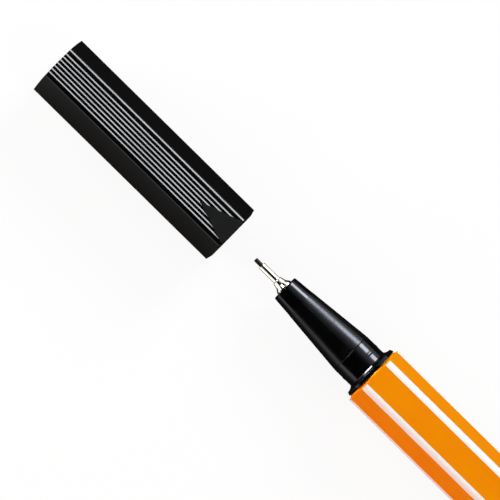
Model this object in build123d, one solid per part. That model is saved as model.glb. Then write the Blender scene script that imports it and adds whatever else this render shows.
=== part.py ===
from build123d import *
from math import cos, radians, tan
import os

# Sizes in millimetres. X runs along the pen towards its writing tip and Z is up.
# The origin is the middle of the barrel's lower flat, on the table that the pen lies on.

# Barrel, a hexagonal tube
barrel_across_flats = 8.2
barrel_length = 130.0
barrel_wall = 0.9
barrel_corner_radius = 0.75
rim_set_back = 0.19
rim_chamfer_length = 0.2
rim_corner_trim = 0.21

# White stripes let flush into the six corners of the barrel
stripe_width = 1.1
stripe_depth = 0.06
stripe_inset = 0.4

# Nose section, from its spigot in the barrel to its front face
spigot_length = 9.0
spigot_lead = 0.4
flange_overhang = 0.1
flange_flat_set_back = 0.12
flange_taper = 0.2
flange_length = 0.5
flange_edge_rounding = 0.04
shoulder_height = 0.65
shoulder_length = 0.41
shoulder_facet_length = 0.17
shoulder_facet_height = 0.13
neck_length = 3.02
snap_position = 0.42
snap_width = 0.6
snap_height = 0.05
neck_step = 0.017
neck_groove_depth = 0.045
neck_groove_wall = 0.07
neck_groove_width = 0.16
taper_length = 9.34
polished_length = 3.04
polished_step = 0.02
nose_front_radius = 1.92
nose_slope = 0.086
nose_edge_rounding = 0.22
nib_channel_radius = 0.8
spigot_hollow_radius = 2.3
spigot_hollow_depth = 6.0

# Metal sleeve round the nib
sleeve_land = 0.7
sleeve_foot_length = 0.17
sleeve_waist_position = 0.66
sleeve_waist_radius = 0.85
sleeve_collar_position = 1.37
sleeve_collar_radius = 0.68
sleeve_flare_length = 1.47
sleeve_length = 2.82
sleeve_lip = 0.06
sleeve_wall = 0.2
shank_step = 0.25
shank_length = 5.5

# Nib, a capillary rod with a ground tip
nib_radius = 0.3
nib_reach = 1.17
nib_rounding = 0.14
nib_body_radius = 0.5
nib_soak_depth = 9.0

# Ink reservoir, a fibre core in a film
reservoir_gap = 0.15
reservoir_film = 0.12
reservoir_end_gap = 0.2

# Plug in the rear end of the barrel
plug_spigot_length = 6.0
plug_head_length = 2.4
plug_head_rounding = 0.9

# Cap, pulled off and lying in line with the pen
cap_set_back = 0.05
cap_wall = 0.85
cap_corner_radius = 0.6
cap_end_wall = 1.1
cap_end_hollow = 7.26
cap_dome = 0.2
cap_dome_flat = 0.6
cap_mouth_crown = 0.4
cap_mouth_lead = 0.49
cap_edge_rounding = 0.12
cap_pulled_gap = 4.47

# Grooved panel and plain pointed pad on the cap's upper face
groove_count = 7
groove_pitch = 0.54
groove_width = 0.4
groove_depth = 0.125
pad_length = 6.1
pad_half_angle = 19.0

# Soft liner in the cap that closes round the nose
liner_overlap = 1.4
liner_lead = 0.15
nib_room = 2.1
liner_end_wall = 1.0
liner_hollow_step = 0.4

# Clearances of the fits
press_clearance = 0.01
nib_clearance = 0.02
cap_clearance = 0.05
cap_stop_gap = 0.05
seal_clearance = 0.04

# Sizes that follow from the ones above
barrel_apothem = barrel_across_flats / 2
barrel_corner = barrel_apothem / cos(radians(30))
bore_radius = barrel_apothem - barrel_wall
spigot_radius = bore_radius - press_clearance
flange_radius = barrel_apothem + flange_overhang
flange_apothem = barrel_apothem - flange_flat_set_back
axis_height = barrel_apothem
front_rim = barrel_length / 2

cap_apothem = barrel_apothem - cap_set_back
cap_corner = cap_apothem / cos(radians(30))
cap_bore_radius = cap_apothem - cap_wall
snap_radius = cap_bore_radius - cap_clearance
neck_radius = snap_radius - snap_height
shoulder_radius = neck_radius + shoulder_height

shoulder_end = flange_length + shoulder_length
neck_end = shoulder_end + neck_length
snap_centre = shoulder_end + neck_length * snap_position
taper_end = neck_end + taper_length
nose_front = taper_end + polished_length
polished_radius = nose_front_radius + polished_length * nose_slope

sleeve_base_radius = nose_front_radius - sleeve_land
shank_radius = sleeve_base_radius - shank_step
sleeve_bore_radius = nib_radius + nib_clearance
sleeve_radius = sleeve_bore_radius + sleeve_wall
sleeve_front = nose_front + sleeve_flare_length + sleeve_length
shank_rear = nose_front - shank_length
nib_front = sleeve_front + nib_reach

reservoir_front = -spigot_length - reservoir_end_gap
reservoir_rear = -barrel_length + plug_spigot_length + reservoir_end_gap
film_radius = bore_radius - reservoir_gap
core_radius = film_radius - reservoir_film
nib_rear = reservoir_front - nib_soak_depth
nib_hole_radius = nib_body_radius + nib_clearance

mouth_seated = flange_length + cap_stop_gap
liner_rim = nose_front - mouth_seated - liner_overlap
liner_floor = nib_front - mouth_seated + nib_room
liner_stop = liner_floor + liner_end_wall
cap_length = liner_stop + cap_end_hollow + cap_end_wall
mouth_pulled = nib_front + cap_pulled_gap
liner_radius = cap_bore_radius - press_clearance
seal_radius = nose_front_radius + liner_overlap * nose_slope + seal_clearance


def turned(outline):
    # Each corner is a distance along the axis, a radius and a rounding.
    corners = [(along, radius) for along, radius, rounding in outline]
    roundings = [rounding for along, radius, rounding in outline]
    path = FilletPolyline(*corners, radius=roundings, close=True)
    return revolve(Plane.XZ * make_face(path), Axis.X)


def rod(start, end, radius):
    return turned([(start, 0, 0), (start, radius, 0), (end, radius, 0), (end, 0, 0)])


def hexagon(apothem, corner_radius):
    outline = RegularPolygon(apothem, 6, major_radius=False)
    return fillet(outline.vertices(), corner_radius)


def along_pen(profile, start, end):
    return Pos(start, 0, 0) * extrude(Plane.YZ * profile, amount=end - start)


def in_front(shape):
    return Pos(front_rim, 0, axis_height) * shape


def behind(shape):
    return Pos(-front_rim, 0, axis_height) * Rot(0, 0, 180) * shape


def corner_profile(number):
    skin = hexagon(barrel_apothem, barrel_corner_radius)
    skin -= hexagon(barrel_apothem - stripe_depth, barrel_corner_radius)
    band = Pos(barrel_corner / 2, 0) * Rectangle(barrel_corner, stripe_width)
    return skin & (Rot(0, 0, 60 * number) * band)


# Both barrel ends are turned to a chamfer, and their corners are trimmed a little further back
def barrel_blank():
    rim_radius = barrel_apothem - rim_set_back
    outer = barrel_corner + 0.5
    trim = rim_chamfer_length + rim_corner_trim * (outer - barrel_apothem) / (barrel_corner - barrel_apothem)
    return turned([
        (-barrel_length, 0, 0),
        (-barrel_length, rim_radius, 0.05),
        (-barrel_length + rim_chamfer_length, barrel_apothem, 0.08),
        (-barrel_length + trim, outer, 0),
        (-trim, outer, 0),
        (-rim_chamfer_length, barrel_apothem, 0.08),
        (0, rim_radius, 0.05),
        (0, 0, 0),
    ])


# The stripes stop short of the chamfers
def corner_stripe(number):
    return along_pen(corner_profile(number), stripe_inset - barrel_length, -stripe_inset)


def barrel():
    body = along_pen(hexagon(barrel_apothem, barrel_corner_radius), -barrel_length, 0) & barrel_blank()
    for number in range(6):
        body -= corner_stripe(number)
    return body - rod(-barrel_length - 1, 1, bore_radius)


# The round flanges of the nose and the plug have six small flats that keep clear of the table
def nose_section():
    body = turned([
        (-spigot_length, 0, 0),
        (-spigot_length, spigot_radius - spigot_lead, 0),
        (-spigot_length + spigot_lead, spigot_radius, 0),
        (0, spigot_radius, 0),
        (0, flange_radius, 0.05),
        (flange_length, flange_radius - flange_taper, flange_edge_rounding),
        (flange_length, shoulder_radius, 0),
        (shoulder_end - shoulder_facet_length, neck_radius + shoulder_facet_height, 0),
        (shoulder_end, neck_radius, 0.04),
        (snap_centre - snap_width / 2, neck_radius, 0),
        (snap_centre, snap_radius, 0.5),
        (snap_centre + snap_width / 2, neck_radius, 0),
        (neck_end, neck_radius, 0),
        (neck_end + neck_groove_wall, neck_radius - neck_groove_depth, 0),
        (neck_end + neck_groove_width, neck_radius - neck_step, 0),
        (taper_end, polished_radius + polished_step, 0),
        (taper_end, polished_radius, 0),
        (nose_front, nose_front_radius, nose_edge_rounding),
        (nose_front, 0, 0),
    ])
    body &= along_pen(hexagon(flange_apothem, barrel_corner_radius), -spigot_length, nose_front)
    body -= rod(-spigot_length - 1, nose_front, nib_channel_radius)
    body -= rod(shank_rear, nose_front + 1, shank_radius + press_clearance)
    body -= rod(-spigot_length - 1, -spigot_length + spigot_hollow_depth, spigot_hollow_radius)
    return in_front(body)


# A foot on the nose narrows in two cones to a collar, where a thin tube comes out
def tip_sleeve():
    body = turned([
        (shank_rear, 0, 0),
        (shank_rear, shank_radius, 0),
        (nose_front, shank_radius, 0),
        (nose_front, sleeve_base_radius, 0),
        (nose_front + sleeve_foot_length, sleeve_base_radius, 0.05),
        (nose_front + sleeve_waist_position, sleeve_waist_radius, 0.3),
        (nose_front + sleeve_collar_position, sleeve_collar_radius, 0.04),
        (nose_front + sleeve_flare_length, sleeve_radius, 0),
        (sleeve_front - sleeve_lip, sleeve_radius, 0),
        (sleeve_front, sleeve_radius - sleeve_lip, 0),
        (sleeve_front, 0, 0),
    ])
    body -= rod(shank_rear - 1, sleeve_front + 1, sleeve_bore_radius)
    body -= rod(shank_rear - 1, nose_front, nib_hole_radius)
    return in_front(body)


def nib():
    step = nose_front - nib_clearance
    return in_front(turned([
        (nib_rear, 0, 0),
        (nib_rear, nib_body_radius, 0.1),
        (step, nib_body_radius, 0),
        (step, nib_radius, 0),
        (nib_front, nib_radius, nib_rounding),
        (nib_front, 0, 0),
    ]))


def reservoir_core():
    core = rod(reservoir_rear, reservoir_front, core_radius)
    return in_front(core - rod(nib_rear, reservoir_front + 1, nib_hole_radius))


def reservoir_wrap():
    film = rod(reservoir_rear, reservoir_front, film_radius)
    return in_front(film - rod(reservoir_rear - 1, reservoir_front + 1, core_radius))


def end_plug():
    plug_end = flange_length + plug_head_length
    body = turned([
        (-plug_spigot_length, 0, 0),
        (-plug_spigot_length, spigot_radius - spigot_lead, 0),
        (-plug_spigot_length + spigot_lead, spigot_radius, 0),
        (0, spigot_radius, 0),
        (0, flange_radius, 0.05),
        (flange_length, flange_radius - flange_taper, flange_edge_rounding),
        (flange_length, neck_radius, 0.12),
        (plug_end, neck_radius, plug_head_rounding),
        (plug_end, 0, 0),
    ])
    return behind(body & along_pen(hexagon(flange_apothem, barrel_corner_radius), -plug_spigot_length, plug_end))


# The closed end bulges a little round a flat middle, and the mouth is crowned towards its bore
def cap_blank():
    outer = cap_corner + 0.5
    crown_start = cap_bore_radius + cap_mouth_lead
    corners = [
        (cap_length, 0),
        (0, 0),
        (0, crown_start),
        (cap_mouth_crown, outer),
        (cap_length - cap_dome, outer),
    ]
    middle = (cap_length, cap_dome_flat)
    dome = TangentArc(middle, corners[-1], tangent=(0, 1))
    return revolve(Plane.XZ * make_face([Polyline(middle, *corners), dome]), Axis.X)


# Vee grooves leave ribs between them and run out at the pointed pad by the mouth
def cap_grooves():
    floor = cap_apothem - groove_depth
    half = groove_width / 2
    rise = 0.1
    spread = half * (1 + rise / groove_depth)
    vee = make_face(Polyline((0, floor), (spread, cap_apothem + rise), (-spread, cap_apothem + rise), close=True))
    profile = Sketch()
    for number in range(groove_count):
        profile += Pos((number - (groove_count - 1) / 2) * groove_pitch, 0) * vee
    grooves = along_pen(profile, -1, cap_length + 1)
    flare = (pad_length + 1) * tan(radians(pad_half_angle))
    pad = make_face(Polyline((pad_length, 0), (-1, flare), (-1, -flare), close=True))
    return grooves - Pos(0, 0, floor - 0.5) * extrude(pad, amount=2)


def cap_shell():
    body = along_pen(hexagon(cap_apothem, cap_corner_radius), 0, cap_length) & cap_blank()
    ends = body.faces().sort_by(Axis.X)
    body = fillet(ends[0].outer_wire().edges() + ends[-1].outer_wire().edges(), cap_edge_rounding)
    body -= cap_grooves()
    throat = shoulder_end - mouth_seated + cap_stop_gap
    lead = cap_mouth_lead + cap_stop_gap
    snap_depth = snap_centre - mouth_seated
    body -= turned([
        (-1, 0, 0),
        (-1, cap_bore_radius + lead, 0),
        (0, cap_bore_radius + lead, 0),
        (throat, cap_bore_radius, 0),
        (snap_depth - snap_width / 2, cap_bore_radius, 0),
        (snap_depth, cap_bore_radius + snap_height, 0),
        (snap_depth + snap_width / 2, cap_bore_radius, 0),
        (liner_stop, cap_bore_radius, 0),
        (liner_stop, cap_bore_radius - liner_hollow_step, 0),
        (cap_length - cap_end_wall, cap_bore_radius - liner_hollow_step, 0.4),
        (cap_length - cap_end_wall, 0, 0),
    ])
    return in_front(Pos(mouth_pulled, 0, 0) * body)


def cap_liner():
    land = nose_front - mouth_seated + liner_overlap / 2
    body = rod(liner_rim, liner_stop, liner_radius)
    body -= turned([
        (liner_rim - 1, 0, 0),
        (liner_rim - 1, seal_radius + liner_lead, 0),
        (liner_rim, seal_radius + liner_lead, 0),
        (liner_rim + 2 * liner_lead, seal_radius, 0),
        (land, seal_radius, 0),
        (land + liner_overlap / 2, sleeve_base_radius + liner_hollow_step, 0),
        (liner_floor, sleeve_base_radius + liner_hollow_step, 0.3),
        (liner_floor, 0, 0),
    ])
    return in_front(Pos(mouth_pulled, 0, 0) * body)


os.makedirs("parts", exist_ok=True)
export_step(in_front(barrel()), "parts/barrel.step")
for number in range(6):
    export_step(in_front(corner_stripe(number)), f"parts/corner_stripe_{number + 1}.step")
export_step(nose_section(), "parts/nose_section.step")
export_step(tip_sleeve(), "parts/tip_sleeve.step")
export_step(nib(), "parts/nib.step")
export_step(reservoir_core(), "parts/reservoir_core.step")
export_step(reservoir_wrap(), "parts/reservoir_wrap.step")
export_step(end_plug(), "parts/end_plug.step")
export_step(cap_shell(), "parts/cap_shell.step")
export_step(cap_liner(), "parts/cap_liner.step")
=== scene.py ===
import math
import bpy
from mathutils import Matrix, Vector


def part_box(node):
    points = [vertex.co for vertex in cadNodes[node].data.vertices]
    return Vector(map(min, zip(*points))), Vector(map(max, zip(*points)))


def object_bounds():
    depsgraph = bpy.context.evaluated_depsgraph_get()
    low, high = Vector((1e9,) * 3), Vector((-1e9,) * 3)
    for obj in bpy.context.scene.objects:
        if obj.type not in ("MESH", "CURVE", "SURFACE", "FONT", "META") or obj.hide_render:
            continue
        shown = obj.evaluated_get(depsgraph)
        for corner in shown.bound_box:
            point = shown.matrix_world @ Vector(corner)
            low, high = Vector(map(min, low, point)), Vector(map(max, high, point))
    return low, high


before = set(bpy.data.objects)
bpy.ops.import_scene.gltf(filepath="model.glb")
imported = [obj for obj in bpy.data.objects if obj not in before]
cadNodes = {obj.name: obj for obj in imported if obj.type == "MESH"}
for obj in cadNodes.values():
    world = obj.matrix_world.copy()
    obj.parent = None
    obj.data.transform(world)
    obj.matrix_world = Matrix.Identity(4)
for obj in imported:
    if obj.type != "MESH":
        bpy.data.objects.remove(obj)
cadLow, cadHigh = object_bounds()
scene = bpy.context.scene
barrelLow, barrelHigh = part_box("barrel")
rimX = barrelHigh.x  # front rim of the barrel
axisZ = (barrelLow.z + barrelHigh.z) / 2
mm = 0.001
noiseLow, noiseHigh = 0.3, 0.7  # most values of a noise texture lie between these
print("frame loaded,", len(cadNodes), "CAD nodes")


# small helpers for node trees
def fill(tree, socket, value):
    if isinstance(value, bpy.types.NodeSocket):
        tree.links.new(value, socket)
    else:
        socket.default_value = value


def addNode(tree, kind, inputs=None, **settings):
    made = tree.nodes.new("ShaderNode" + kind)
    for key, value in settings.items():
        setattr(made, key, value)
    for key, value in (inputs or {}).items():
        fill(tree, made.inputs[key], value)
    return made


def maths(tree, operation, first, second=None, clamp=False):
    inputs = {0: first}
    if second is not None:
        inputs[1] = second
    return addNode(tree, "Math", inputs, operation=operation, use_clamp=clamp).outputs[0]


def addShare(tree, base, mask, share, clamp=False):
    return maths(tree, "ADD", base, maths(tree, "MULTIPLY", mask, share), clamp)


def ramp(tree, value, low, high, toLow=0.0, toHigh=1.0, smooth=True):
    inputs = {"Value": value, "From Min": low, "From Max": high, "To Min": toLow, "To Max": toHigh}
    kind = "SMOOTHSTEP" if smooth else "LINEAR"
    return addNode(tree, "MapRange", inputs, interpolation_type=kind).outputs["Result"]


def mixColour(tree, factor, first, second):
    made = addNode(tree, "Mix", {0: factor}, data_type="RGBA")
    for index, colour in ((6, first), (7, second)):  # the node's two colour sockets
        fill(tree, made.inputs[index], (*colour, 1.0) if isinstance(colour, tuple) else colour)
    return made.outputs[2]  # its colour result


def newGroup(name, inputs, outputs):
    group = bpy.data.node_groups.new(name, "ShaderNodeTree")
    for label, kind, value in inputs:
        socket = group.interface.new_socket(label, in_out="INPUT", socket_type="NodeSocket" + kind)
        if value is not None:
            socket.default_value = value
    for label, kind in outputs:
        group.interface.new_socket(label, in_out="OUTPUT", socket_type="NodeSocket" + kind)
    return group, group.nodes.new("NodeGroupInput").outputs, group.nodes.new("NodeGroupOutput").inputs


def placeGroup(tree, group, **inputs):
    return addNode(tree, "Group", inputs, node_tree=group).outputs


# fine texture that a mould leaves on plastic, and slow uneven shade under it; all effects are sized in mm
def buildMouldGrain():
    group, given, out = newGroup(
        "mouldGrain", [("Vector", "Vector", None), ("Size", "Float", 0.1)],
        [("Height", "Float"), ("Shade", "Float")])
    scale = maths(group, "DIVIDE", 1.0, given["Size"])
    fine = addNode(group, "TexNoise", {"Vector": given["Vector"], "Scale": scale, "Detail": 2.0})
    slow = addNode(group, "TexNoise", {"Vector": given["Vector"], "Scale": 0.22, "Detail": 3.0})
    group.links.new(fine.outputs["Fac"], out["Height"])
    group.links.new(slow.outputs["Fac"], out["Shade"])
    return group


# lines that run along the pen, as an extruded or drawn piece shows
def buildDrawnLines():
    group, given, out = newGroup(
        "drawnLines", [("Vector", "Vector", None), ("Size", "Float", 0.2), ("Run", "Float", 0.01)],
        [("Height", "Float")])
    stretch = addNode(group, "CombineXYZ", {"X": given["Run"], "Y": 1.0, "Z": 1.0})
    pulled = addNode(group, "VectorMath", {0: given["Vector"], 1: stretch.outputs[0]}, operation="MULTIPLY")
    scale = maths(group, "DIVIDE", 1.0, given["Size"])
    noise = addNode(group, "TexNoise", {"Vector": pulled.outputs[0], "Scale": scale, "Detail": 4.0})
    group.links.new(noise.outputs["Fac"], out["Height"])
    return group


# rings round the pen, as turning leaves them
def buildTurnedRings():
    group, given, out = newGroup(
        "turnedRings", [("Vector", "Vector", None), ("Size", "Float", 0.05)], [("Height", "Float")])
    along = addNode(group, "SeparateXYZ", {0: given["Vector"]}).outputs["X"]
    scale = maths(group, "DIVIDE", 1.0, given["Size"])
    noise = addNode(group, "TexNoise", {"W": along, "Scale": scale, "Detail": 3.0}, noise_dimensions="1D")
    group.links.new(noise.outputs["Fac"], out["Height"])
    return group


# hairline scratches from handling, most of them lengthwise, in patches
hairlineLook = {"turn": (0.05, 0.08, 0.13), "stretch": (0.07, 1.0, 1.0), "patchRange": (0.5, 0.68)}


def buildHairlines(look):
    group, given, out = newGroup(
        "hairlines", [("Vector", "Vector", None), ("Spacing", "Float", 2.0), ("Width", "Float", 0.02)],
        [("Mask", "Float")])
    turned = addNode(group, "Mapping", {"Vector": given["Vector"], "Rotation": look["turn"],
                                        "Scale": look["stretch"]})
    scale = maths(group, "DIVIDE", 1.0, given["Spacing"])
    cells = addNode(group, "TexVoronoi", {"Vector": turned.outputs[0], "Scale": scale},
                    feature="DISTANCE_TO_EDGE")
    line = ramp(group, cells.outputs["Distance"], 0.0, given["Width"], 1.0, 0.0)
    patches = addNode(group, "TexNoise", {"Vector": given["Vector"], "Scale": 0.35, "Detail": 2.0})
    where = ramp(group, patches.outputs["Fac"], *look["patchRange"])
    group.links.new(maths(group, "MULTIPLY", line, where), out["Mask"])
    return group


# specks of dust, each in its own random cell, with some cells left empty
speckLook = {"core": 0.5, "emptyShare": 0.55}


def buildSpecks(look):
    group, given, out = newGroup(
        "specks", [("Vector", "Vector", None), ("Spacing", "Float", 1.5), ("Size", "Float", 0.04)],
        [("Mask", "Float")])
    scale = maths(group, "DIVIDE", 1.0, given["Spacing"])
    cells = addNode(group, "TexVoronoi", {"Vector": given["Vector"], "Scale": scale})
    radius = maths(group, "DIVIDE", given["Size"], given["Spacing"])
    core = maths(group, "MULTIPLY", radius, look["core"])
    dot = ramp(group, cells.outputs["Distance"], core, radius, 1.0, 0.0)
    chance = addNode(group, "SeparateColor", {0: cells.outputs["Color"]}).outputs[0]
    kept = maths(group, "GREATER_THAN", chance, look["emptyShare"])
    group.links.new(maths(group, "MULTIPLY", dot, kept), out["Mask"])
    return group


# a mask that rises at one station along the pen
def buildStation():
    group, given, out = newGroup(
        "station", [("Vector", "Vector", None), ("Start", "Float", 0.0), ("Blend", "Float", 0.05)],
        [("Mask", "Float")])
    along = addNode(group, "SeparateXYZ", {0: given["Vector"]}).outputs["X"]
    end = maths(group, "ADD", given["Start"], given["Blend"])
    group.links.new(ramp(group, along, given["Start"], end), out["Mask"])
    return group


# rubbed edges, where a rounded copy of the normal leaves the true one, broken up by noise
rubLook = {"edgeRange": (0.80, 0.985), "patchRange": (0.35, 0.65)}


def buildRubbedEdges(look):
    group, given, out = newGroup(
        "rubbedEdges", [("Vector", "Vector", None), ("Reach", "Float", 0.1)], [("Mask", "Float")])
    reach = maths(group, "MULTIPLY", given["Reach"], mm)
    rounded = addNode(group, "Bevel", {"Radius": reach}, samples=4).outputs[0]
    trueNormal = addNode(group, "NewGeometry").outputs["Normal"]
    same = addNode(group, "VectorMath", {0: rounded, 1: trueNormal}, operation="DOT_PRODUCT")
    edge = ramp(group, same.outputs["Value"], *look["edgeRange"], 1.0, 0.0)
    broken = addNode(group, "TexNoise", {"Vector": given["Vector"], "Scale": 2.5, "Detail": 4.0})
    where = ramp(group, broken.outputs["Fac"], *look["patchRange"])
    group.links.new(maths(group, "MULTIPLY", edge, where), out["Mask"])
    return group


mouldGrain = buildMouldGrain()
drawnLines = buildDrawnLines()
turnedRings = buildTurnedRings()
hairlines = buildHairlines(hairlineLook)
specks = buildSpecks(speckLook)
station = buildStation()
rubbedEdges = buildRubbedEdges(rubLook)
print("shared node groups built")


def newMaterial(name, constants):
    material = bpy.data.materials.new(name)
    material.use_nodes = True
    tree = material.node_tree
    shader = tree.nodes["Principled BSDF"]
    for key, value in constants.items():
        shader.inputs[key].default_value = value
    place = addNode(tree, "TexCoord").outputs["Object"]
    inMm = addNode(tree, "VectorMath", {0: place, "Scale": 1 / mm}, operation="SCALE").outputs[0]
    return material, tree, shader, inMm


# roughness that wanders about its middle value with a noise
def unevenRough(tree, noise, look):
    smoother, rougher = look["roughSpread"]
    middle = look["roughness"]
    return ramp(tree, noise, noiseLow, noiseHigh, middle + smoother, middle + rougher)


def connect(tree, shader, colour, rough, height=None, depth=0.0):
    tree.links.new(colour, shader.inputs["Base Color"])
    tree.links.new(rough, shader.inputs["Roughness"])
    if height is not None:
        bump = addNode(tree, "Bump", {"Height": height, "Strength": 1.0, "Distance": depth * mm})
        tree.links.new(bump.outputs["Normal"], shader.inputs["Normal"])


def dress(material, *names):
    for name in names:
        slots = cadNodes[name].data.materials
        slots.clear()
        slots.append(material)


# orange barrel; here and below, inner dictionaries hold what a shared effect takes, and depths are in mm
barrelLook = {
    "orange": (0.88, 0.275, 0.001),
    "deepOrange": (0.86, 0.258, 0.001),
    "deepRange": (0.35, 0.65),
    "specular": 0.2,
    "roughness": 0.30,
    "roughSpread": (-0.05, 0.05),
    "grain": {"Size": 0.3},
    "lines": {"Size": 0.25, "Run": 0.01},
    "lineDepth": 0.00015,
    "scratches": {"Spacing": 3.0, "Width": 0.012},
    "scratchRough": 0.2,
    "scratchDepth": 0.5,  # share of lineDepth
    "dust": {"Spacing": 2.2, "Size": 0.035},
    "dustColour": (0.8, 0.6, 0.4),
    "dustShare": 0.25,
}


def makeBarrelMaterial(look):
    material, tree, shader, inMm = newMaterial("barrelOrange", {"Specular IOR Level": look["specular"]})
    grain = placeGroup(tree, mouldGrain, Vector=inMm, **look["grain"])
    lines = placeGroup(tree, drawnLines, Vector=inMm, **look["lines"])
    scratch = placeGroup(tree, hairlines, Vector=inMm, **look["scratches"])
    dust = placeGroup(tree, specks, Vector=inMm, **look["dust"])
    deep = ramp(tree, grain["Shade"], *look["deepRange"])
    colour = mixColour(tree, deep, look["orange"], look["deepOrange"])
    dusty = maths(tree, "MULTIPLY", dust["Mask"], look["dustShare"])
    colour = mixColour(tree, dusty, colour, look["dustColour"])
    rough = unevenRough(tree, lines["Height"], look)
    rough = addShare(tree, rough, scratch["Mask"], look["scratchRough"])
    height = addShare(tree, lines["Height"], scratch["Mask"], -look["scratchDepth"])
    connect(tree, shader, colour, rough, height, look["lineDepth"])
    return material


dress(makeBarrelMaterial(barrelLook), "barrel")

# white stripes
stripeLook = {
    "white": (0.93, 0.93, 0.915),
    "thin": (0.92, 0.87, 0.82),  # where the orange shows through
    "thinRange": (0.55, 0.8),
    "thinShare": 0.25,
    "specular": 0.2,
    "roughness": 0.36,
    "roughSpread": (-0.05, 0.06),
    "grain": {"Size": 0.12},
    "grainDepth": 0.0006,
    "lines": {"Size": 0.2, "Run": 0.02},
    "scratches": {"Spacing": 2.0, "Width": 0.015},
    "scratchShare": 0.4,
}


def makeStripeMaterial(look):
    material, tree, shader, inMm = newMaterial("stripeWhite", {"Specular IOR Level": look["specular"]})
    grain = placeGroup(tree, mouldGrain, Vector=inMm, **look["grain"])
    lines = placeGroup(tree, drawnLines, Vector=inMm, **look["lines"])
    scratch = placeGroup(tree, hairlines, Vector=inMm, **look["scratches"])
    thin = ramp(tree, grain["Shade"], *look["thinRange"])
    thin = maths(tree, "MULTIPLY", thin, look["thinShare"])
    thin = addShare(tree, thin, scratch["Mask"], look["scratchShare"])
    colour = mixColour(tree, thin, look["white"], look["thin"])
    rough = unevenRough(tree, lines["Height"], look)
    connect(tree, shader, colour, rough, grain["Height"], look["grainDepth"])
    return material


dress(makeStripeMaterial(stripeLook), *["corner_stripe_%d" % number for number in range(1, 7)])
print("barrel and stripes dressed")

# black nose section, satin on the taper and polished at its front
noseLook = {
    "black": (0.0009, 0.0009, 0.0009),
    "rubbed": (0.012, 0.012, 0.012),
    "gloss": (0.82, 0.86, 1.0, 1.0),  # tint of its reflections
    "taperRoughness": 0.26,
    "neckRoughness": 0.15,
    "frontRoughness": 0.14,
    "roughSpread": (-0.02, 0.04),
    "neckEnd": 3.93,  # mm ahead of the rim
    "frontStart": 13.27,
    "blend": 0.04,
    "grain": {"Size": 0.09},
    "grainDepth": 0.0010,
    "polishedGrain": 0.15,  # share of the grain left on the neck and the front
    "scratches": {"Spacing": 1.4, "Width": 0.02},
    "scratchRough": 0.15,
    "dust": {"Spacing": 1.6, "Size": 0.03},
    "dustShare": 0.6,
    "edges": {"Reach": 0.08},
    "edgeShare": 0.5,
}


def makeNoseMaterial(look):
    material, tree, shader, inMm = newMaterial("noseBlack", {"Specular Tint": look["gloss"]})
    rim = rimX / mm
    grain = placeGroup(tree, mouldGrain, Vector=inMm, **look["grain"])
    scratch = placeGroup(tree, hairlines, Vector=inMm, **look["scratches"])
    dust = placeGroup(tree, specks, Vector=inMm, **look["dust"])
    edges = placeGroup(tree, rubbedEdges, Vector=inMm, **look["edges"])
    taper, front = [
        placeGroup(tree, station, Vector=inMm, Start=rim + look[start], Blend=look["blend"])["Mask"]
        for start in ("neckEnd", "frontStart")]
    wear = maths(tree, "MULTIPLY", edges["Mask"], look["edgeShare"])
    wear = addShare(tree, wear, dust["Mask"], look["dustShare"], clamp=True)
    colour = mixColour(tree, wear, look["black"], look["rubbed"])
    rough = ramp(tree, taper, 0.0, 1.0, look["neckRoughness"], look["taperRoughness"], smooth=False)
    rough = addShare(tree, rough, front, look["frontRoughness"] - look["taperRoughness"])
    uneven = ramp(tree, grain["Shade"], noiseLow, noiseHigh, *look["roughSpread"])
    rough = maths(tree, "ADD", rough, uneven)
    rough = addShare(tree, rough, scratch["Mask"], look["scratchRough"])
    satin = maths(tree, "SUBTRACT", taper, front)
    textured = ramp(tree, satin, 0.0, 1.0, look["polishedGrain"], 1.0, smooth=False)
    height = maths(tree, "MULTIPLY", grain["Height"], textured)
    connect(tree, shader, colour, rough, height, look["grainDepth"])
    return material


dress(makeNoseMaterial(noseLook), "nose_section")

# black plug at the rear
plugLook = {
    "black": (0.003, 0.003, 0.003),
    "rubbed": (0.012, 0.012, 0.012),
    "gloss": (0.88, 0.91, 1.0, 1.0),
    "roughness": 0.27,
    "roughSpread": (-0.03, 0.05),
    "grain": {"Size": 0.12},
    "grainDepth": 0.0010,
    "scratches": {"Spacing": 1.2, "Width": 0.02},
    "scratchRough": 0.2,
    "edges": {"Reach": 0.15},
}


def makePlugMaterial(look):
    material, tree, shader, inMm = newMaterial("plugBlack", {"Specular Tint": look["gloss"]})
    grain = placeGroup(tree, mouldGrain, Vector=inMm, **look["grain"])
    scratch = placeGroup(tree, hairlines, Vector=inMm, **look["scratches"])
    edges = placeGroup(tree, rubbedEdges, Vector=inMm, **look["edges"])
    colour = mixColour(tree, edges["Mask"], look["black"], look["rubbed"])
    rough = unevenRough(tree, grain["Shade"], look)
    rough = addShare(tree, rough, scratch["Mask"], look["scratchRough"])
    connect(tree, shader, colour, rough, grain["Height"], look["grainDepth"])
    return material


dress(makePlugMaterial(plugLook), "end_plug")

# black cap, with a duller pointed pad on its grooved face
capLook = {
    "black": (0.0016, 0.0019, 0.0013),
    "rubbed": (0.012, 0.0125, 0.011),
    "gloss": (0.95, 0.96, 1.0, 1.0),
    "roughness": 0.19,
    "roughSpread": (-0.015, 0.025),
    "padRoughness": 0.50,
    "padLength": 6.1,  # mm from the mouth to its point
    "padAngle": 19.0,  # degrees, half of its point
    "padSoft": 0.03,
    "padSkin": (0.06, 0.03),  # mm below the face, from no pad to full pad
    "grain": {"Size": 0.07},
    "grainDepth": 0.0004,
    "scratches": {"Spacing": 2.0, "Width": 0.02},
    "scratchRough": 0.08,
    "dust": {"Spacing": 1.2, "Size": 0.03},
    "dustColour": (0.06, 0.06, 0.055),
    "dustShare": 0.5,
    "edges": {"Reach": 0.12},
}


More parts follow.
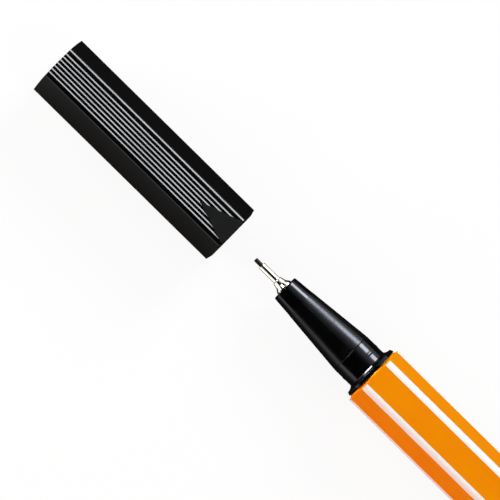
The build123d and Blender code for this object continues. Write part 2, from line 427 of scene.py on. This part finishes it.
def makePadMask(tree, inMm, look):
    capLow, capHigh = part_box("cap_shell")
    split = addNode(tree, "SeparateXYZ", {0: inMm}).outputs
    ahead = maths(tree, "SUBTRACT", capLow.x / mm + look["padLength"], split["X"])
    reach = maths(tree, "MULTIPLY", ahead, math.tan(math.radians(look["padAngle"])))
    margin = maths(tree, "SUBTRACT", reach, maths(tree, "ABSOLUTE", split["Y"]))
    inside = ramp(tree, margin, -look["padSoft"], look["padSoft"])
    low, high = [capHigh.z / mm - depth for depth in look["padSkin"]]
    return maths(tree, "MULTIPLY", inside, ramp(tree, split["Z"], low, high))


def makeCapMaterial(look):
    material, tree, shader, inMm = newMaterial("capBlack", {"Specular Tint": look["gloss"]})
    grain = placeGroup(tree, mouldGrain, Vector=inMm, **look["grain"])
    scratch = placeGroup(tree, hairlines, Vector=inMm, **look["scratches"])
    dust = placeGroup(tree, specks, Vector=inMm, **look["dust"])
    edges = placeGroup(tree, rubbedEdges, Vector=inMm, **look["edges"])
    colour = mixColour(tree, edges["Mask"], look["black"], look["rubbed"])
    dusty = maths(tree, "MULTIPLY", dust["Mask"], look["dustShare"])
    colour = mixColour(tree, dusty, colour, look["dustColour"])
    rough = unevenRough(tree, grain["Shade"], look)
    rough = addShare(tree, rough, scratch["Mask"], look["scratchRough"])
    pad = makePadMask(tree, inMm, look)
    rough = addShare(tree, rough, pad, look["padRoughness"] - look["roughness"])
    connect(tree, shader, colour, rough, grain["Height"], look["grainDepth"])
    return material


dress(makeCapMaterial(capLook), "cap_shell")

# soft liner inside the cap
linerLook = {
    "natural": (0.62, 0.61, 0.57),
    "stained": (0.2, 0.2, 0.21),
    "stainRange": (0.55, 0.7),
    "softLight": 0.2,  # share of light that enters the soft plastic
    "softReach": 0.001,  # m
    "roughness": 0.5,
    "roughSpread": (-0.05, 0.08),
    "grain": {"Size": 0.15},
    "grainDepth": 0.002,
}


def makeLinerMaterial(look):
    constants = {"Subsurface Weight": look["softLight"], "Subsurface Scale": look["softReach"]}
    material, tree, shader, inMm = newMaterial("linerNatural", constants)
    grain = placeGroup(tree, mouldGrain, Vector=inMm, **look["grain"])
    stain = ramp(tree, grain["Shade"], *look["stainRange"])
    colour = mixColour(tree, stain, look["natural"], look["stained"])
    rough = unevenRough(tree, grain["Shade"], look)
    connect(tree, shader, colour, rough, grain["Height"], look["grainDepth"])
    return material


dress(makeLinerMaterial(linerLook), "cap_liner")
print("cap, liner, nose and plug dressed")

# drawn steel sleeve
sleeveLook = {
    "steel": (0.84, 0.81, 0.77),
    "warm": (0.70, 0.60, 0.50),
    "warmRange": (0.4, 0.75),
    "warmShare": 0.5,
    "roughness": 0.12,
    "roughSpread": (-0.03, 0.04),
    "grain": {"Size": 0.4},
    "lines": {"Size": 0.06, "Run": 0.05},
    "rings": {"Size": 0.06},
    "ringDepth": 0.00004,
}


def makeSleeveMaterial(look):
    material, tree, shader, inMm = newMaterial("sleeveSteel", {"Metallic": 1.0})
    rings = placeGroup(tree, turnedRings, Vector=inMm, **look["rings"])
    lines = placeGroup(tree, drawnLines, Vector=inMm, **look["lines"])
    grain = placeGroup(tree, mouldGrain, Vector=inMm, **look["grain"])
    warm = ramp(tree, grain["Height"], *look["warmRange"], 0.0, look["warmShare"])
    colour = mixColour(tree, warm, look["steel"], look["warm"])
    rough = unevenRough(tree, lines["Height"], look)
    connect(tree, shader, colour, rough, rings["Height"], look["ringDepth"])
    return material


dress(makeSleeveMaterial(sleeveLook), "tip_sleeve")

# inked nib, and the fibre core inside the barrel with coarser strands
nibLook = {
    "black": (0.003, 0.003, 0.0034),
    "dry": (0.012, 0.012, 0.0136),
    "dryRange": (0.5, 0.75),
    "specular": 0.2,
    "roughness": 0.38,
    "roughSpread": (-0.08, 0.1),
    "strands": {"Size": 0.08, "Run": 0.03},
    "strandDepth": 0.006,
    "grain": {"Size": 0.08},
}
coreLook = {
    "black": (0.02, 0.02, 0.024),
    "dry": (0.12, 0.12, 0.13),
    "dryRange": (0.5, 0.75),
    "specular": 0.4,
    "roughness": 0.8,
    "roughSpread": (-0.08, 0.1),
    "strands": {"Size": 0.15, "Run": 0.03},
    "strandDepth": 0.006,
    "grain": {"Size": 0.15},
}


def makeFibreMaterial(name, look):
    material, tree, shader, inMm = newMaterial(name, {"Specular IOR Level": look["specular"]})
    strands = placeGroup(tree, drawnLines, Vector=inMm, **look["strands"])
    grain = placeGroup(tree, mouldGrain, Vector=inMm, **look["grain"])
    dry = ramp(tree, strands["Height"], *look["dryRange"])
    colour = mixColour(tree, dry, look["black"], look["dry"])
    rough = unevenRough(tree, grain["Height"], look)
    connect(tree, shader, colour, rough, strands["Height"], look["strandDepth"])
    return material


dress(makeFibreMaterial("nibInked", nibLook), "nib")
dress(makeFibreMaterial("fibreInked", coreLook), "reservoir_core")

# film round the fibre core
filmLook = {
    "clear": (0.75, 0.75, 0.72),
    "inked": (0.12, 0.12, 0.13),
    "inkedRange": (0.45, 0.6),
    "roughness": 0.2,
    "roughSpread": (0.0, 0.1),
    "lines": {"Size": 0.6, "Run": 0.05},
}


def makeFilmMaterial(look):
    material, tree, shader, inMm = newMaterial("filmClear", {})
    lines = placeGroup(tree, drawnLines, Vector=inMm, **look["lines"])
    soaked = ramp(tree, lines["Height"], *look["inkedRange"])
    colour = mixColour(tree, soaked, look["clear"], look["inked"])
    connect(tree, shader, colour, unevenRough(tree, lines["Height"], look))
    return material


dress(makeFilmMaterial(filmLook), "reservoir_wrap")
print("tip and inner pieces dressed")

# camera over the pen, tipped a little towards +Y
cameraView = {
    "frame": 500,  # pixels across the picture
    "pixelsPerMm": 7.49,  # at the pen's axis
    "aheadOfRim": 23.15,  # mm, the point that the camera looks at
    "sideways": -0.385,
    "tilt": 5.0,  # degrees
    "slant": 44.52,  # of the pen in the picture
    "lens": 300.0,
    "sensor": 36.0,
    "nearest": 0.01,  # m
    "farthest": 20.0,
}


def makeCamera(look):
    tilt = math.radians(look["tilt"])
    slant = math.radians(look["slant"])
    back = Vector((0, math.sin(tilt), math.cos(tilt)))
    along = Vector((1, 0, 0))
    across = back.cross(along)
    right = -math.cos(slant) * along - math.sin(slant) * across
    up = math.sin(slant) * along - math.cos(slant) * across
    width = look["frame"] / look["pixelsPerMm"] * mm
    distance = look["lens"] / look["sensor"] * width
    target = Vector((rimX + look["aheadOfRim"] * mm, 0, axisZ)) + across * look["sideways"] * mm
    data = bpy.data.cameras.new("photoCamera")
    data.lens = look["lens"]
    data.sensor_width = look["sensor"]
    data.clip_start = look["nearest"]
    data.clip_end = look["farthest"]
    camera = bpy.data.objects.new("photoCamera", data)
    scene.collection.objects.link(camera)
    turn = Matrix((right, up, back)).transposed()
    camera.matrix_world = Matrix.Translation(target + back * distance) @ turn.to_4x4()
    scene.camera = camera
    return target


target = makeCamera(cameraView)
print("camera set")

# floor, pale to the camera, and in reflections dim close to the pen and pale further out
floorLook = {
    "size": 6.0,  # m
    "drop": 0.00002,  # m, keeps it clear of the barrel's lowest flat
    "pale": 0.98,
    "dim": 0.025,
    "ownLight": 0.90,
    "near": 15.0,  # mm from the dim strip's middle line to where it starts to pale
    "far": 110.0,
    "aside": 12.0,  # mm, the middle line lies this far to -Y of the pen
    "beyond": 15.0,  # mm, and stops this far short of the pen's ends
}


def makeFloor(look):
    half = look["size"] / 2
    mesh = bpy.data.meshes.new("paleFloor")
    corners = [(-half, -half, 0), (half, -half, 0), (half, half, 0), (-half, half, 0)]
    mesh.from_pydata(corners, [], [(0, 1, 2, 3)])
    floor = bpy.data.objects.new("paleFloor", mesh)
    floor.location.z = -look["drop"]
    scene.collection.objects.link(floor)
    material = bpy.data.materials.new("paleFloor")
    material.use_nodes = True
    tree = material.node_tree
    tree.nodes.clear()
    rays = addNode(tree, "LightPath").outputs
    seen = maths(tree, "MAXIMUM", rays["Is Camera Ray"], rays["Is Transmission Ray"])
    place = addNode(tree, "NewGeometry").outputs["Position"]
    split = addNode(tree, "SeparateXYZ", {0: place}).outputs
    beside = maths(tree, "ADD", split["Y"], look["aside"] * mm)
    middle = (cadLow.x + cadHigh.x) / 2
    pastEnd = maths(tree, "ABSOLUTE", maths(tree, "SUBTRACT", split["X"], middle))
    pastEnd = maths(tree, "SUBTRACT", pastEnd, (cadHigh.x - cadLow.x) / 2 - look["beyond"] * mm)
    pastEnd = maths(tree, "MAXIMUM", pastEnd, 0.0)
    offset = addNode(tree, "CombineXYZ", {"X": pastEnd, "Y": beside}).outputs[0]
    gap = addNode(tree, "VectorMath", {0: offset}, operation="LENGTH").outputs["Value"]
    away = ramp(tree, gap, look["near"] * mm, look["far"] * mm)
    seen = maths(tree, "MAXIMUM", seen, maths(tree, "MULTIPLY", rays["Is Glossy Ray"], away))
    level = ramp(tree, seen, 0.0, 1.0, look["dim"], look["pale"], smooth=False)
    matt = addNode(tree, "BsdfDiffuse", {"Color": level})
    glow = addNode(tree, "Emission", {"Color": (1, 1, 1, 1), "Strength": 1.0})
    share = maths(tree, "MULTIPLY", seen, look["ownLight"])
    both = addNode(tree, "MixShader", {0: share, 1: matt.outputs[0], 2: glow.outputs[0]})
    output = addNode(tree, "OutputMaterial")
    tree.links.new(both.outputs[0], output.inputs["Surface"])
    mesh.materials.append(material)


makeFloor(floorLook)

# studio round the pen: white to the camera, dark overhead, a glow high on the -Y side and a low pale wall
# on +Y; places in it are parts of a unit direction
worldLook = {
    "ceiling": 0.004,
    "glow": 0.9,
    "glowRange": (0.2, 0.75),
    "glowFoot": 0.1,
    "horizon": 0.12,
    "wall": 1.4,
    "wallRange": (0.2, 0.5),
    "wallTop": 0.16,
    "wallSoft": 0.10,
    "wallTint": (1.0, 0.93, 0.88),
    "spread": 0.6,  # how far both reach towards the pen's ends
    "spreadSoft": 0.2,
}


def makeWorld(look):
    world = bpy.data.worlds.new("studio")
    scene.world = world
    world.use_nodes = True
    tree = world.node_tree
    tree.nodes.clear()
    direction = addNode(tree, "TexCoord").outputs["Generated"]
    split = addNode(tree, "SeparateXYZ", {0: direction}).outputs
    endways = maths(tree, "ABSOLUTE", split["X"])
    spread, soft = look["spread"], look["spreadSoft"]
    middle = ramp(tree, endways, spread - soft, spread + soft, 1.0, 0.0)
    top, soft = look["wallTop"], look["wallSoft"]
    low = ramp(tree, split["Z"], top - soft, top + soft, 1.0, 0.0)
    side = ramp(tree, split["Y"], *look["wallRange"])
    wall = maths(tree, "MULTIPLY", maths(tree, "MULTIPLY", low, side), look["wall"])
    away = maths(tree, "MULTIPLY", split["Y"], -1.0)
    glow = ramp(tree, away, *look["glowRange"], 0.0, look["glow"])
    glow = maths(tree, "MULTIPLY", glow, ramp(tree, split["Z"], 0.0, look["glowFoot"]))
    rays = addNode(tree, "LightPath").outputs
    seen = maths(tree, "MAXIMUM", rays["Is Camera Ray"], rays["Is Transmission Ray"])
    level = maths(tree, "MULTIPLY", maths(tree, "ADD", wall, glow), middle)
    level = maths(tree, "ADD", level, look["ceiling"])
    pale = ramp(tree, split["Z"], 0.0, look["horizon"], 1.0, 0.0)
    backdrop = maths(tree, "MULTIPLY", rays["Is Glossy Ray"], pale)
    level = maths(tree, "MAXIMUM", level, maths(tree, "MAXIMUM", seen, backdrop))
    warm = maths(tree, "MULTIPLY", side, maths(tree, "SUBTRACT", 1.0, seen))
    colour = mixColour(tree, warm, (1, 1, 1), look["wallTint"])
    light = addNode(tree, "Background", {"Color": colour, "Strength": level})
    output = addNode(tree, "OutputWorld")
    tree.links.new(light.outputs[0], output.inputs["Surface"])


makeWorld(worldLook)
print("floor and world set")

# each lamp: degrees above the table, degrees round from +X towards +Y, distance and size in m, level, tint,
# and the pieces that mirror it; the barrel mirrors none of them, so that no glare hides its colour
blackPieces = ["nose_section", "end_plug", "cap_shell", "cap_liner", "nib"]
lampLook = {
    "key": {"up": 27, "round": -90, "distance": 0.7, "size": (0.25, 0.25), "level": 0.66,
            "tint": (0.97, 0.98, 1.0), "mirroredIn": blackPieces + ["tip_sleeve"]},
    "front": {"up": 15, "round": 9, "distance": 0.8, "size": (0.7, 0.16), "level": 1.75,
              "tint": (1, 0.99, 0.97), "mirroredIn": []},
    "rear": {"up": 40, "round": 180, "distance": 0.8, "size": (0.3, 0.3), "level": 0.2,
             "tint": (1, 1, 1), "mirroredIn": blackPieces + ["tip_sleeve"]},
    "warmFill": {"up": 10, "round": 90, "distance": 0.8, "size": (0.4, 0.2), "level": 0.5,
                 "tint": (1, 0.36, 0.28), "mirroredIn": []},
}


def addLamp(name, place, away, size, light, tint):
    data = bpy.data.lights.new(name, "AREA")
    data.shape = "RECTANGLE"
    data.size, data.size_y = size
    data.energy = light * math.pi * size[0] * size[1]
    data.color = tint
    made = bpy.data.objects.new(name, data)
    scene.collection.objects.link(made)
    made.location = place
    made.rotation_euler = away.to_track_quat("Z", "Y").to_euler()
    return made


def mirrorOnly(lamp, names):
    lit = bpy.data.collections.new(lamp.name + "Lit")
    for name in names:
        lit.objects.link(cadNodes[name])
    lamp.light_linking.receiver_collection = lit
    lamp.visible_diffuse = False


def makeLamps(look):
    for name, lamp in look.items():
        up, turn = math.radians(lamp["up"]), math.radians(lamp["round"])
        away = Vector((math.cos(up) * math.cos(turn), math.cos(up) * math.sin(turn), math.sin(up)))
        wide, high = lamp["size"]
        light = lamp["level"] * math.pi * lamp["distance"] ** 2 / (wide * high)
        made = addLamp(name, target + away * lamp["distance"], away, (wide, high), light, lamp["tint"])
        made.visible_glossy = False
        if lamp["mirroredIn"]:
            near = 0.98  # just in front of the lamp, so that its reflection isn't hidden
            place = target + away * lamp["distance"] * near
            gleam = addLamp(name + "Gleam", place, away, (wide * near, high * near), light, lamp["tint"])
            mirrorOnly(gleam, lamp["mirroredIn"])


makeLamps(lampLook)

# small lamps close to the pen, mirrored in one or two pieces: middle in mm from the rim, y and z, then
# width and height in mm; a narrow spread, in degrees, keeps a lamp's light to the edge that it is there for
gleamLook = {
    "tipGleamFar": {"middle": (19.42, -3.2, 5.9), "size": (5.3, 4.2), "away": (0, -1, 0),
                    "spread": 180, "light": 1.1, "tint": (1, 0.98, 0.95),
                    "mirroredIn": ["tip_sleeve", "nib"]},
    "tipGleamNear": {"middle": (19.42, 3.2, 5.25), "size": (5.3, 5.5), "away": (0, 1, 0),
                     "spread": 180, "light": 1.1, "tint": (1, 0.98, 0.95),
                     "mirroredIn": ["tip_sleeve", "nib"]},
    "footGleam": {"middle": (23.5, 0.0, 6.75), "size": (3.0, 2.5), "away": (0.95, 0, 0.32),
                  "spread": 180, "light": 8.0, "tint": (1, 0.98, 0.95),
                  "mirroredIn": ["tip_sleeve"]},
    "grooveGleam": {"middle": (5.6, 0.5, 7.35), "size": (2.8, 0.4), "away": (0.966, 0, 0.259),
                    "spread": 40, "light": 2.4, "tint": (1, 0.99, 0.97),
                    "mirroredIn": ["nose_section"]},
    "shoulderGleam": {"middle": (2.6, 1.1, 7.83), "size": (4.2, 0.45), "away": (0.956, 0, 0.292),
                      "spread": 80, "light": 8.5, "tint": (1, 0.99, 0.97),
                      "mirroredIn": ["nose_section"]},
    "cornerGleam": {"middle": (29.5, -4.4, 10.2), "size": (59.0, 0.7), "away": (0, -0.707, 0.707),
                    "spread": 24, "light": 0.5, "tint": (0.97, 0.98, 1.0),
                    "mirroredIn": ["cap_shell"]},
    "rimGleam": {"middle": (2.0, 0.0, 8.57), "size": (5.0, 0.3), "away": (0.883, 0, 0.469),
                 "spread": 40, "light": 32.0, "tint": (1, 0.9, 0.3),
                 "mirroredIn": ["barrel"]},
}


def makeGleams(look):
    for name, lamp in look.items():
        ahead, y, z = lamp["middle"]
        place = Vector((rimX + ahead * mm, y * mm, z * mm))
        size = tuple(side * mm for side in lamp["size"])
        gleam = addLamp(name, place, Vector(lamp["away"]), size, lamp["light"], lamp["tint"])
        gleam.data.spread = math.radians(lamp["spread"])
        mirrorOnly(gleam, lamp["mirroredIn"])


makeGleams(gleamLook)
scene.view_settings.view_transform = "Standard"
print("lamps set")
